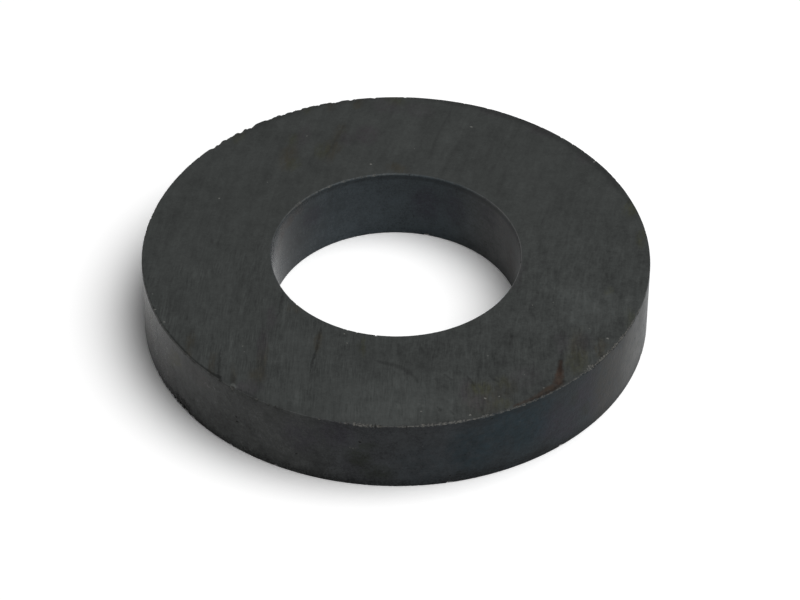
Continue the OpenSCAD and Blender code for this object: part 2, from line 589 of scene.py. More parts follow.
# broad lighter and darker zones of the upper face: x, y, half width, half length, change of tone
faceZones = [
    (-1, -28.2, 9, 4.8, 0.36), (-13, -20, 2.6, 8, 0.08), (25, -10, 5.5, 5, 0.32),
    (19.8, -6, 1.8, 4.5, 0.08), (10.6, -27.4, 3.4, 2.4, 0.16), (2, 24, 5, 7, 0.03),
    (0, -23.6, 5, 2.4, 0.05), (25.6, -18, 2.2, 2.4, 0.14), (-12.4, -27.4, 2.4, 2, 0.1),
    (-9, 28, 6, 4, 0.05), (28.8, -9.5, 2, 3.2, 0.08), (22, -12.5, 1.6, 2.6, 0.08),
    (0, -19, 7, 2.6, -0.05), (13.8, -20, 3, 4, -0.06), (15.2, -5, 2.6, 4.5, -0.04),
    (-28.5, -11, 2.2, 5, -0.07), (-17, -19.5, 1.4, 6, -0.09), (-26, -17.5, 1.6, 3, -0.1),
    (26, 21, 4.5, 7, -0.06), (15.5, 23, 4, 5, -0.05), (12, 18.5, 3, 3, -0.05),
    (-22.2, -21.5, 1.2, 1.8, -0.2), (-19, 25.5, 3.6, 2.4, -0.08), (-30.5, 4, 1.4, 7, -0.06),
    (-20.1, -24.2, 0.5, 0.9, -0.22), (-26.2, -18.6, 0.8, 1, -0.12), (-6.7, -15.7, 0.9, 0.7, -0.16),
]
# stains on the upper face: x, y, half width, half length along the arcs, strength
faceStains = {
    "brown": ((0.0286, 0.0264, 0.0202), [
        (22.6, -18.6, 1.3, 4.4, 0.7), (10.8, -27.4, 2.6, 3.4, 0.6), (13.6, -25.6, 1.2, 2.4, 0.5),
        (-9.6, -17.2, 0.5, 2, 0.9), (-16.4, -20.4, 0.7, 2.8, 0.7), (-17, -23.6, 1.2, 1.4, 0.7),
        (-20, -23.4, 0.5, 2, 0.5), (-22.6, -21.4, 0.5, 2, 0.7), (-25.6, -18.2, 0.6, 2.6, 0.7),
        (-14.2, 19.6, 1.2, 2.6, 0.9), (-8.4, 21.6, 1, 3, 0.8), (-7.4, 25.2, 0.8, 1.8, 0.6),
        (25.4, -18.2, 0.9, 2.2, 0.8), (0.2, 17.2, 1.4, 1, 0.8), (-5.2, 30.8, 0.7, 1.2, 0.8),
        (-12.6, -10.8, 1, 0.9, 0.5), (-9, 30.2, 0.8, 1, 0.5), (19.4, -26, 1.4, 1, 0.6)]),
    "olive": ((0.031, 0.0325, 0.0215), [
        (30.6, 9.4, 1, 2.2, 0.9), (31.6, 3.2, 0.8, 2.4, 0.8), (22.4, -20.6, 1.6, 2.6, 0.6),
        (10.2, -25.6, 1.8, 1.2, 0.9), (13.2, -24.4, 0.9, 1.4, 0.5), (-13.6, 23.2, 0.9, 1.4, 0.7),
        (-9.8, 20.8, 1.1, 1.8, 0.7), (-4.1, -18, 0.4, 1.9, 0.8), (-21, 23.6, 0.8, 1.2, 0.6),
        (-0.2, 31.4, 1.4, 1, 0.7), (27, -7.2, 0.6, 1, 0.5), (-12, 29.4, 0.7, 0.8, 0.5),
        (29.4, -12.6, 0.7, 2.4, 0.5), (-13.6, 18, 1, 1.4, 0.6), (13.2, -28.4, 1.2, 1.2, 0.6)]),
    "mauve": ((0.03, 0.0283, 0.0304), [
        (8.6, -26, 0.8, 2.2, 0.8), (10, -28.2, 1.2, 1.6, 0.7), (-4, 24.2, 1.8, 2, 0.9),
        (-16.6, -17.4, 0.6, 2.8, 0.8), (-18, -25.6, 1.8, 1.2, 0.7), (-15.6, -12.6, 0.7, 2.2, 0.7),
        (-6.6, 23.4, 0.9, 1.4, 0.7), (-1.4, 30.4, 2.2, 1.4, 0.6), (16, -23.4, 2, 2.4, 0.5),
        (23.6, -16.8, 1, 1.8, 0.6), (20.6, -17, 0.9, 2.6, 0.6), (-12.4, 23.8, 0.8, 2.8, 0.6),
        (3, 29.6, 2.4, 1.6, 0.5), (15.4, -4, 0.9, 3.4, 0.5), (28.6, 14.6, 0.8, 2, 0.5),
        (25.2, 19.8, 1.4, 1.8, 0.7), (19.8, 25.2, 2.2, 1.4, 0.7), (13, 29.2, 2.4, 1, 0.5)]),
}
# rust that has bled from the front right mark and along the rim
rust = {
    "colour": (0.025, 0.0116, 0.0056),
    "marks": {
        "bled": (0.86, 0.38, [
            (20.45, -20.4, 0.03), (20.3, -21.8, 0.22), (20.2, -23, 0.38), (20, -24.4, 0.5)]),
        "alongRim": (0.56, 0.3, [
            (20.2, -24.6, 0.4), (19, -25.6, 0.5), (17.7, -26.8, 0.38), (16.2, -27.8, 0.24),
            (14.6, -28.7, 0.12)]),
    },
}
# marks on the upper face: how dark, how soft at the edge, then x, y and half width along each one
faceMarks = {
    "scratchStart": (0.44, 0.2, [(-9.3, -14.6, 0.12), (-9.6, -17, 0.12), (-9.8, -18.6, 0.08)]),
    "mainScratch": (0.54, 0.13, [
        (-9.75, -18.3, 0.04), (-10.05, -19.8, 0.09), (-10.35, -21.4, 0.08), (-10.5, -23.2, 0.01)]),
    "scratchEnd": (0.18, 0.14, [(-10.5, -23.2, 0.03), (-10.4, -26, 0.02)]),
    "nearBore": (0.3, 0.3, [(0.4, -17.6, 0.1), (0.6, -19.2, 0.2)]),
    "nearBoreLeft": (0.26, 0.4, [(-1.6, -18.9, 0.1), (-1.5, -19.5, 0.15)]),
    "rightOfBore": (0.3, 0.2, [(3, -17.9, 0.04), (3.6, -19.1, 0.08)]),
    "firstTick": (0.32, 0.2, [(6, -23, 0.04), (6.9, -24, 0.1)]),
    "secondTick": (0.42, 0.18, [(8.8, -23.3, 0.08), (9.3, -24.3, 0.14), (9.7, -25, 0.05)]),
    "thirdTick": (0.36, 0.2, [(11.6, -23.4, 0.1), (12.6, -24.3, 0.14)]),
    "frontDot": (0.42, 0.2, [(5.2, -28.9, 0.04), (5.5, -29.6, 0.12)]),
    "frontDotRight": (0.4, 0.2, [(6.8, -29.8, 0.08), (7, -30.1, 0.1)]),
    "frontSmudge": (0.18, 0.5, [(5.7, -27.6, 0.1), (6.1, -28, 0.2)]),
    "rustLine": (0.5, 0.3, [
        (20.7, -18.4, 0.02), (20.55, -20, 0.16), (20.4, -21.4, 0.24), (20.4, -22.4, 0.06)]),
    "rustEdge": (0.5, 0.2, [
        (20.7, -24.2, 0.06), (19.6, -25.5, 0.14), (18.2, -26.6, 0.16), (16.6, -27.7, 0.1)]),
    "rightHair": (0.34, 0.08, [(16.7, -16.2, 0.04), (16.8, -17.2, 0.04)]),
    "rightStreak": (0.3, 0.16, [(25.2, -16, 0.06), (25.3, -19.4, 0.12)]),
    "rightStreakInner": (0.26, 0.18, [(22.6, -15.8, 0.06), (22.7, -20.4, 0.14)]),
    "leftLine": (0.5, 0.14, [(-21.7, -18.6, 0.03), (-21.8, -21, 0.1), (-21.7, -24.2, 0.16)]),
    "leftBoreLine": (0.42, 0.16, [(-14.2, -8, 0.08), (-14.5, -10.4, 0.14), (-14.8, -12.4, 0.04)]),
    "leftBand": (0.26, 0.22, [(-16.3, -15.6, 0.04), (-16.5, -19.5, 0.18), (-16.3, -24, 0.12)]),
    "oliveBlot": (0.34, 0.34, [(-20.2, -23, 0.06), (-19.9, -24.2, 0.2)]),
    "edgeDrag": (0.34, 0.22, [(-19.2, -25.9, 0.1), (-17.6, -27, 0.12), (-16.4, -28, 0.16)]),
    "backRim": (0.38, 0.66, [
        (30.4, 10.4, 0.05), (27.5, 16.6, 0.28), (23.1, 22.3, 0.34), (17.6, 26.9, 0.34), (10.8, 30.3, 0.2),
        (4, 32, 0.02)]),
    "backRimLeft": (0.32, 0.6, [
        (-3, 32, 0.02), (-9.6, 30.7, 0.2), (-16, 27.8, 0.25), (-21.6, 23.7, 0.05)]),
    "backLine": (0.2, 0.2, [(4.3, 19.4, 0.04), (5.4, 24, 0.14), (7.2, 29.4, 0.04)]),
    "backLineLeft": (0.16, 0.2, [(-9.6, 18.6, 0.04), (-8.2, 22.6, 0.16), (-6.9, 26.4, 0.04)]),
    "backLineRight": (0.16, 0.22, [(12.8, 17.4, 0.04), (14.4, 22.4, 0.12)]),
}
# the same, for a mark with a smooth edge, pressed in and not scratched
pressedMarks = {
    "thumbArc": (0.34, 0.36, [
        (-2.2, -20.7, 0.06), (-0.3, -21.3, 0.2), (0.8, -21.9, 0.24), (1.7, -22.7, 0.2),
        (2.5, -23.7, 0.06), (2.8, -24.5, 0.01)]),
}
# the same, for marks that are lighter than the face
lightMarks = {
    "besideBore": (0.22, 0.3, [(-13.6, -9.4, 0.1), (-14, -12.6, 0.2), (-14.2, -15.8, 0.08)]),
    "frontPatch": (0.22, 0.5, [(-12, -26.6, 0.1), (-12, -28.6, 0.2)]),
    "frontBlot": (0.24, 0.24, [(2.9, -28.5, 0.12), (3.4, -28.7, 0.14)]),
    "frontBlotLeft": (0.2, 0.34, [(0.2, -28.7, 0.2), (0.4, -29.3, 0.22)]),
    "frontBlotFar": (0.18, 0.28, [(-4.7, -28.8, 0.12), (-4.6, -29.8, 0.12)]),
    "frontBlotInner": (0.14, 0.34, [(-3, -26.2, 0.2), (-2.9, -27, 0.2)]),
    "frontBlotRight": (0.16, 0.3, [(6.6, -27.7, 0.14), (7, -27.9, 0.14)]),
    "arcInside": (0.12, 0.5, [(0, -22.4, 0.1), (0.2, -23.6, 0.3), (0.2, -25.4, 0.3)]),
    "underBore": (0.22, 0.34, [(14.1, -15.5, 0.1), (14.2, -17, 0.2)]),
    "leftFront": (0.14, 0.4, [(-20.2, -14.6, 0.1), (-20.6, -21, 0.14)]),
    "left": (0.14, 0.3, [(-18.7, -4.2, 0.06), (-19.3, -8.4, 0.16)]),
    "underArc": (0.16, 0.4, [(3.4, -24.1, 0.06), (4.4, -23.7, 0.12), (5.6, -23, 0.06)]),
    "frontRight": (0.2, 0.26, [(8.7, -17.6, 0.06), (8.7, -20, 0.14)]),
    "right": (0.22, 0.3, [(22.1, -11.4, 0.1), (22, -13.4, 0.2)]),
    "rightUpper": (0.2, 0.34, [(25, -9.8, 0.12), (24.8, -11.4, 0.2)]),
    "rightRim": (0.22, 0.3, [(29.2, -10.2, 0.1), (28.8, -11.8, 0.18)]),
    "rightInner": (0.2, 0.24, [(19, -3.6, 0.06), (19, -7.6, 0.12)]),
    "rightFront": (0.2, 0.22, [(21.7, -16.4, 0.06), (21.6, -19.4, 0.12)]),
    "bead": (0.95, 0.2, [(-20, -25.1, 0.16), (-19.6, -25.45, 0.2)]),
    "beadRight": (0.3, 0.14, [(-17.1, -27.8, 0.06), (-17, -27.9, 0.06)]),
    "back": (0.12, 0.4, [(6.6, 20, 0.1), (8.6, 25, 0.16)]),
    "backRight": (0.12, 0.34, [(14.6, 18.6, 0.1), (15.4, 21, 0.16)]),
}
# a darker band along the left of the upper rim: degrees, then how far it reaches in over the face
rimDarkReach = [
    (181, 0), (185, 0.14), (194, 0.17), (204, 0.21), (212, 0.3), (220, 0.27), (226, 0.42), (228, 0.74),
    (229, 0),
]
# pale specks on the upper face: x, y, radius
faceSpecks = [
    (10, 26, 0.13), (-3.4, 18, 0.14), (-23, 10.8, 0.1), (17.2, -10, 0.09), (19.8, -9.4, 0.1),
    (-6.4, -15.6, 0.09), (26.4, -16.3, 0.13), (11, -27.3, 0.15), (12.7, -27, 0.08), (-19, -18, 0.07),
    (-6, -17.4, 0.09), (3.2, -29.8, 0.09), (-28.9, -13.5, 0.15), (9.1, -30.4, 0.16), (-30.2, -11.2, 0.13),
    (11.4, -19.6, 0.08), (-18.8, -19, 0.04), (2.4, 21.2, 0.05), (-16.9, 14.2, 0.06), (-11.9, 23.9, 0.08),
    (-30.7, -8.2, 0.06), (-30.4, -9.6, 0.08), (0.2, -28.4, 0.05), (18.2, -25.4, 0.1), (18.6, -20.8, 0.07),
    (13.2, -19.2, 0.06), (26.1, 18.7, 0.16), (15.9, -23, 0.07), (24.2, -14.4, 0.06),
]


# a place on the upper face in grinding coordinates
def onArcs(x, y):
    centreX, centreY = groundFinish["arcCentre"]
    dx, dy = centreX - x, y - centreY
    return (centreX - math.hypot(dx, dy), centreX * math.atan2(dy, dx), topFace)


def faceSpot(x, y, wide, long, strength, spread=spotSpread):
    size = (wide * spread, long * spread, 4.0)
    return onArcs(x, y), size, strength


# coordinates that run across the grinding arcs, along them, and up
def arcCoordinates(tree, x, y, z):
    centreX, centreY = groundFinish["arcCentre"]
    dx = calc(tree, "SUBTRACT", centreX, x)
    dy = calc(tree, "SUBTRACT", y, centreY)
    squares = calc(tree, "MULTIPLY_ADD", dx, dx, times(tree, dy, dy))
    join = addNode(tree, "CombineXYZ")
    feed(tree, join.inputs[0], calc(tree, "SUBTRACT", centreX, calc(tree, "SQRT", squares)))
    feed(tree, join.inputs[1], times(tree, calc(tree, "ARCTAN2", dy, dx), centreX))
    feed(tree, join.inputs[2], z)
    return join.outputs[0]


# colour, roughness and height of the ground faces
def groundFace(tree, place, x, y, z, degrees, reach):
    finish = groundFinish
    arcs = arcCoordinates(tree, x, y, z)
    front = ramp(tree, y, *finish["front"])
    frontRight = times(tree, front, ramp(tree, x, *finish["right"]))

    def amount(name):
        everywhere, more, most = finish[name]
        share = calc(tree, "MULTIPLY_ADD", front, more, everywhere)
        return calc(tree, "MULTIPLY_ADD", frontRight, most, share)

    mottle = cloud(tree, place, finish["mottleSize"], 4.0, 0.95)
    grain = cloud(tree, place, finish["grainSize"], 2.0, 0.8)
    hair = cloud(tree, arcs, (finish["hairWidth"], finish["hairLength"], 1.0), 1.5, 0.7)
    streak = cloud(tree, arcs, (finish["streakWidth"], finish["streakLength"], 1.4), 2.0, 0.7)
    band = cloud(tree, arcs, (finish["bandWidth"], finish["bandLength"], 1.7), 2.0, 0.5)
    patchy = ramp(tree, cloud(tree, arcs, (3.0, 4.0, 3.0), 1.0), 0.36, 0.62, 0.35, 1.0)
    tone = calc(tree, "MULTIPLY_ADD", front, finish["frontTone"], 1.0)
    tone = sway(tree, tone, mottle, amount("mottle"))
    tone = sway(tree, tone, grain, amount("grain"))
    tone = sway(tree, tone, hair, times(tree, patchy, amount("hair")))
    tone = sway(tree, tone, streak, amount("streak"))
    tone = sway(tree, tone, band, finish["band"])
    for name, sign in (("lightZones", 1), ("darkZones", -1)):
        rows = [faceSpot(*zone, sign * change, zoneSpread)
                for *zone, change in faceZones if sign * change > 0]
        tone = calc(tree, "MULTIPLY_ADD", gathered(tree, name, arcs, softSpots, rows), sign, tone)

    ragged = shaken(tree, place, (0.5, 0.7, 0.5), 0.55)
    raggedArcs = shaken(tree, arcs, (0.8, 2.4, 2.0), 1.6)
    broken = ramp(tree, cloud(tree, arcs, (0.28, 1.1, 1.0), 2.0, 0.6), 0.30, 0.56, 0.55, 1.0)
    scored = times(tree, gathered(tree, "faceMarks", ragged, softStrokes, faceMarks), broken)
    rubbed = times(tree, gathered(tree, "lightMarks", ragged, softStrokes, lightMarks), broken)
    pressed = gathered(tree, "pressedMarks", place, softStrokes, pressedMarks)
    for marks, change in ((pressed, -1.0), (scored, -1.0), (rubbed, 1.0)):
        tone = shaded(tree, tone, marks, change)

    # a darker band along the rim, over the part of it that the table gives
    grime = addNode(tree, "FloatCurve")
    curve = grime.mapping.curves[0]
    grime.mapping.use_clip = False
    for index, (where, depth) in enumerate(rimDarkReach):
        if index < 2:  # the curve begins with two points of its own
            curve.points[index].location = (where / 360, depth)
        else:
            curve.points.new(where / 360, depth)
    for point in curve.points:
        point.handle_type = "VECTOR"
    grime.mapping.update()
    feed(tree, grime.inputs["Value"], calc(tree, "DIVIDE", degrees, 360.0))
    fray = cloud(tree, place, 0.5, 2.0, 0.6)
    inward = calc(tree, "MULTIPLY_ADD", fray, 0.5, calc(tree, "SUBTRACT", rimRadius - 0.25, reach))
    rimDarkShare = ramp(tree, calc(tree, "SUBTRACT", grime.outputs[0], inward), -0.17, 0.12)
    onTop = ramp(tree, z, topFace - 3.0, topFace - 2.0)
    tone = shaded(tree, tone, times(tree, rimDarkShare, onTop), finish["grime"])

    tatter = ramp(tree, cloud(tree, arcs, (0.5, 1.8, 2.0), 3.0, 0.65), 0.36, 0.58, 0.35, 1.0)
    colour = patched(tree, finish["colour"], raggedArcs, faceStains, tatter, faceSpot)
    bled = gathered(tree, "rustMarks", ragged, softStrokes, rust["marks"])
    patchyRust = times(tree, bled, calc(tree, "MAXIMUM", tatter, finish["rustLeast"]))
    colour = mixColour(tree, patchyRust, colour, rust["colour"])
    colour = vectorCalc(tree, "SCALE", colour, calc(tree, "MAXIMUM", tone, finish["darkest"]))
    rows = [((*spot, topFace), size) for *spot, size in faceSpecks]
    specks = gathered(tree, "faceSpecks", ragged, softBalls, rows, 0.06)
    specks = times(tree, specks, finish["specks"])
    colour = mixColour(tree, specks, colour, finish["speckColour"])

    roughness = sway(tree, finish["roughness"], hair, finish["hairRoughness"])
    hairHeight = times(tree, hair, finish["hairBump"])
    height = calc(tree, "MULTIPLY_ADD", grain, finish["grainBump"], hairHeight)
    return colour, roughness, height


# satin fired walls

firedFinish = {
    # by side: the left colour is lightened as a painted sheen, and the right one, over the wall's bluish
    # tint, is darkened as painted shade
    "leftColour": (0.0525, 0.055, 0.0535),
    "frontColour": (0.037, 0.04, 0.043),
    "rightColour": (0.021, 0.027, 0.031),
    "boreColour": (0.0463, 0.0577, 0.0648),
    # the bore by side: its left, which faces the lamp, is darkened as painted shade, and its right,
    # turned away from it, is lightened as painted light
    "boreLeftColour": (0.0398, 0.0456, 0.0488),
    "boreRightColour": (0.08, 0.082, 0.082),
    "leftRoughness": 0.20,
    "rightRoughness": 0.40,
    "mottle": (2.2, 0.8, -0.7),  # everywhere, more towards the left, and less in the bore
    "mottleSize": 4.0,
    "mottleBump": 0.05,
    "grain": 0.8,
    "grainSize": 0.3,
    "grainBump": 0.012,
    "scuff": 0.35,
    # darker towards the foot: a dark speckle and painted contact shade
    "soot": (-0.65, 0.5),  # change of tone on the outer wall, and what is added to it in the bore
    "lip": (-0.08, -0.26),  # in the same way
    "darkest": 0.12,
    "pitBump": -0.12,
    "pitColour": (0.0035, 0.0035, 0.0035),
    "crumbs": 0.7,
    "crumbColour": (0.1, 0.1, 0.095),
}
# patches on the outer wall: degrees, height, half width, half height, strength
wallPatches = {
    "purple": ((0.0255, 0.0222, 0.0315), [
        (249, 6.4, 2.8, 2.8, 0.5), (257, 8, 2.6, 2.4, 0.6), (261, 3.6, 1.8, 1.4, 0.5),
        (307, 5, 3.2, 3.2, 0.6), (311, 3, 2.4, 2.6, 0.6), (316, 6.2, 2.2, 2.6, 0.7),
        (320, 3.2, 2.2, 1.6, 0.6), (318, 8.2, 1.6, 1.4, 0.5), (48, 5, 5, 3, 0.5), (120, 4, 6, 3, 0.5),
        (165, 5, 5, 3, 0.4)]),
    "teal": ((0.011, 0.025, 0.033), [
        (276, 3, 4, 4.5, 0.22), (287, 5, 3.6, 4, 0.6), (294, 7, 3.6, 3.6, 0.6), (300, 6, 3.4, 4, 0.7),
        (303, 8.2, 2.4, 1.8, 0.6), (322, 8, 1.4, 1.4, 0.3), (78, 5, 6, 3.4, 0.5), (12, 5, 5, 3, 0.4),
        (142, 6, 4, 3, 0.4)]),
    "oliveBlack": ((0.0142, 0.0178, 0.0112), [
        (262, 4.4, 1.8, 1.8, 0.7), (266, 2.2, 2.4, 1.4, 0.6), (264, 6.6, 1.6, 0.8, 0.5),
        (313, 7, 0.8, 1.5, 0.4), (317, 3.6, 0.8, 1.2, 0.5), (95, 2.6, 3.4, 1.6, 0.6),
        (30, 7, 3, 1.6, 0.5)]),
    "khaki": ((0.056, 0.056, 0.036), [
        (213, 7.6, 1.5, 1.3, 0.8), (210.5, 6, 1.1, 1.1, 0.5), (340, 3, 2.6, 3, 0.25),
        (343, 8.2, 1.8, 1.6, 0.3), (198, 8.2, 1.4, 1, 0.4)]),
    "beige": ((0.056, 0.05, 0.047), [
        (196, 5.4, 2.6, 2.6, 0.5), (222, 8, 2.4, 1.3, 0.4), (207, 3.6, 2.4, 1.6, 0.4),
        (180, 5, 4, 3, 0.4)]),
    # dark grit and painted contact shade along the foot of the outer wall, most on the left
    "sooty": ((0.011, 0.011, 0.0105), [
        (196, 0.1, 2.2, 0.7, 0.5), (203, 0.1, 2.2, 0.8, 0.9), (209, 0.2, 2, 0.9, 0.9),
        (213.4, 0.5, 1.2, 1, 1), (216.6, 0.6, 1.2, 1.1, 1), (221, 0.1, 2, 0.7, 0.8),
        (228, 0, 2.4, 0.6, 0.6), (302, 0.8, 2.4, 0.6, 0.3), (310, 0.4, 2.2, 0.6, 0.3)]),
    # grey patches over the right end of the outer wall
    "ash": ((0.03, 0.0285, 0.025), [
        (325, 5, 3.6, 7, 0.85), (333, 5, 4, 7, 0.8), (343, 5, 5, 7, 0.6)]),
    # painted sheen: pale patches for the reflection at the outer wall's left and right ends, and painted
    # light at its left foot
    "silver": ((0.135, 0.136, 0.134), [
        (186, 5.2, 3, 5, 0.95), (193, 6.4, 3, 4, 0.32), (199, 6.6, 2.2, 2, 0.18),
        (189, 9.4, 2.2, 1.6, 0.7), (194.5, 9.4, 2, 1.1, 0.5), (186, 0.8, 4, 1.6, 0.5),
        (194, 1, 3, 1.2, 0.3), (337, 5, 3.4, 5, 0.26)]),
}
# patches on the bore wall, in the same way
borePatches = {
    "umber": ((0.042, 0.035, 0.03), [
        (157, 8.2, 1.4, 1.3, 0.7), (150, 8.6, 1.2, 0.9, 0.7), (143, 9, 1.2, 0.8, 0.5),
        (162, 6.6, 1.4, 1.2, 0.5), (20, 4, 2, 3, 0.5), (250, 5, 3, 3, 0.5)]),
    "violet": ((0.03, 0.027, 0.04), [
        (76, 5.4, 2.2, 3, 0.6), (61, 6, 1.8, 3, 0.5), (40, 7.4, 1.6, 1.6, 0.5), (134, 6.4, 1.8, 1.6, 0.5),
        (225, 5, 3, 3, 0.4), (300, 6, 3, 2.6, 0.4)]),
    "black": ((0.009, 0.009, 0.0085), [
        (157, 5, 9, 2.6, 0.22), (48, 1.6, 2.4, 1.4, 0.15), (36, 4.2, 1.8, 1.6, 0.2),
        (28, 1.6, 1.8, 1.4, 0.15), (280, 3, 2.4, 1.6, 0.5)]),
}
# pits on the outer wall, painted near black as the shade in them: degrees, height, radius
wallPits = [
    (345.5, 5, 0.18), (347.2, 3.8, 0.14), (349.6, 4.6, 0.2), (351, 3, 0.12), (233, 5.4, 0.16),
    (233.2, 4.7, 0.12), (213, 1.2, 0.44), (214.4, 0.6, 0.52), (215.4, 1.3, 0.54), (216.2, 0.6, 0.6),
    (217.2, 1, 0.5), (209, 0.3, 0.36), (206.4, 0.2, 0.3), (203.4, 0.2, 0.32), (219, 0.2, 0.34),
    (211.4, 0.6, 0.26), (282, 1.2, 0.12), (248, 3.2, 0.1), (291.2, 9.4, 0.1), (338, 6.4, 0.12),
    (262.4, 7.2, 0.14), (297, 1.2, 0.1), (12, 6, 0.16), (34, 2.4, 0.14), (70, 7.2, 0.18), (101, 4, 0.14),
    (133, 6.6, 0.16), (158, 3.2, 0.14), (171, 7.4, 0.12),
]
# pale crumbs and scuffs on the outer wall: degrees, height, radius
wallSpecks = [
    (260.2, 6.1, 0.13), (260.9, 6, 0.12), (261.5, 6.05, 0.08), (276, 6.6, 0.07), (322, 2.2, 0.06),
    (267.6, 2.45, 0.06), (298, 7.4, 0.05), (224, 8.8, 0.07), (88, 5, 0.1), (150, 8, 0.09),
    (25, 8.4, 0.08),
]
boreSpecks = [
    (106, 7.4, 0.07), (107, 6.6, 0.05), (98, 4.8, 0.05), (70, 3, 0.05), (275, 6, 0.07),
]


def onCylinder(radius, degrees, height):
    angle = math.radians(degrees)
    return radius * math.cos(angle), radius * math.sin(angle), lowFace + height


def rimSpot(degrees, height, wide, tall, strength, radius=rimRadius):
    size = (wide * spotSpread, wide * spotSpread, tall * spotSpread)
    return onCylinder(radius, degrees, height), size, strength


def boreSpot(*row):
    return rimSpot(*row, boreRadius)


# colour, roughness and height of the fired walls
def firedWall(tree, place, x, z, reach):
    finish = firedFinish
    inBore = ramp(tree, reach, rimRadius - 8.0, boreRadius + 4.0)
    mottle = cloud(tree, place, finish["mottleSize"], 5.0, 0.85)
    grain = cloud(tree, place, finish["grainSize"], 2.0, 0.75)
    scuff = cloud(tree, place, (3.0, 3.0, 0.10), 1.0, 0.5)
    ragged = shaken(tree, place, 1.1, 1.6)
    tatter = ramp(tree, cloud(tree, place, (0.9, 0.9, 0.8), 3.0, 0.65), 0.34, 0.60, 0.4, 1.0)

    # painted sheen on the left of the outer wall and painted shade on its right
    colour = mixColour(tree, ramp(tree, x, -15.0, -2.0), finish["leftColour"], finish["frontColour"])
    colour = mixColour(tree, ramp(tree, x, 0.0, 16.0), colour, finish["rightColour"])
    colour = patched(tree, colour, ragged, wallPatches, tatter, rimSpot)
    # painted shade on the bore's lit left and painted light on its shaded right
    inner = mixColour(tree, ramp(tree, x, -8.0, -14.0), finish["boreColour"], finish["boreLeftColour"])
    inner = mixColour(tree, ramp(tree, x, 6.0, 14.0), inner, finish["boreRightColour"])
    inner = patched(tree, inner, ragged, borePatches, tatter, boreSpot)
    colour = mixColour(tree, inBore, colour, inner)
    everywhere, atLeft, within = finish["mottle"]
    mottleAmount = calc(tree, "MULTIPLY_ADD", ramp(tree, x, -10.0, -26.0), atLeft, everywhere)
    mottleAmount = calc(tree, "MULTIPLY_ADD", inBore, within, mottleAmount)
    tone = 1.0
    for layer, amount in ((mottle, mottleAmount), (grain, finish["grain"]), (scuff, finish["scuff"])):
        tone = sway(tree, tone, layer, amount)

    # dark speckle and painted contact shade towards the lower edge
    soot = cloud(tree, place, (0.28, 0.28, 0.22), 2.0, 0.7)
    footShadeEdge = cloud(tree, place, 2.4, 2.0)
    footShadeHeight = calc(tree, "MULTIPLY_ADD", footShadeEdge, -2.4, calc(tree, "SUBTRACT", z, lowFace))
    footShadeShare = ramp(tree, footShadeHeight, 0.5, -0.9)
    footShadeShare = times(tree, footShadeShare, ramp(tree, soot, 0.42, 0.58, 0.25, 1.0))
    everywhere, within = finish["soot"]
    tone = shaded(tree, tone, footShadeShare, calc(tree, "MULTIPLY_ADD", inBore, within, everywhere))
    # painted shade: a darker line just under the upper arris, most in the bore
    lip = ramp(tree, z, topFace - 1.1, topFace - 0.55)
    lip = times(tree, lip, ramp(tree, z, topFace - 0.15, topFace - 0.35))
    everywhere, within = finish["lip"]
    tone = shaded(tree, tone, lip, calc(tree, "MULTIPLY_ADD", inBore, within, everywhere))
    colour = vectorCalc(tree, "SCALE", colour, calc(tree, "MAXIMUM", tone, finish["darkest"]))

    edged = shaken(tree, place, 0.3, 0.35)
    rows = [(onCylinder(rimRadius, *spot), size) for *spot, size in wallPits]
    pits = gathered(tree, "wallPits", edged, softBalls, rows, 0.08)
    rows = [(onCylinder(radius, *spot), size)
            for radius, specks in ((rimRadius, wallSpecks), (boreRadius, boreSpecks))
            for *spot, size in specks]
    crumbs = gathered(tree, "wallSpecks", edged, softBalls, rows, 0.06)
    # painted shade in the pits
    colour = mixColour(tree, pits, colour, finish["pitColour"])
    crumbs = times(tree, crumbs, finish["crumbs"])
    colour = mixColour(tree, crumbs, colour, finish["crumbColour"])

    across = ramp(tree, x, -28.0, 24.0)
    roughness = mixValue(tree, across, finish["leftRoughness"], finish["rightRoughness"])
    roughness = sway(tree, roughness, mottle, 0.5)
    roughness = sway(tree, roughness, grain, 0.2)
    height = times(tree, mottle, finish["mottleBump"])
    for layer, depth in ((grain, finish["grainBump"]), (pits, finish["pitBump"])):
        height = calc(tree, "MULTIPLY_ADD", layer, depth, height)
    return colour, roughness, height


ferriteFinish = {
    "paleColour": (0.13, 0.127, 0.116),  # freshly broken ferrite
    "darkBreak": (0.013, 0.013, 0.0125),  # a break painted dark as the shade in its hollow
    "darkShare": 0.55,
    "brokenRoughness": 0.72,
    "brokenBump": 0.04,
    "specular": 0.08,
}


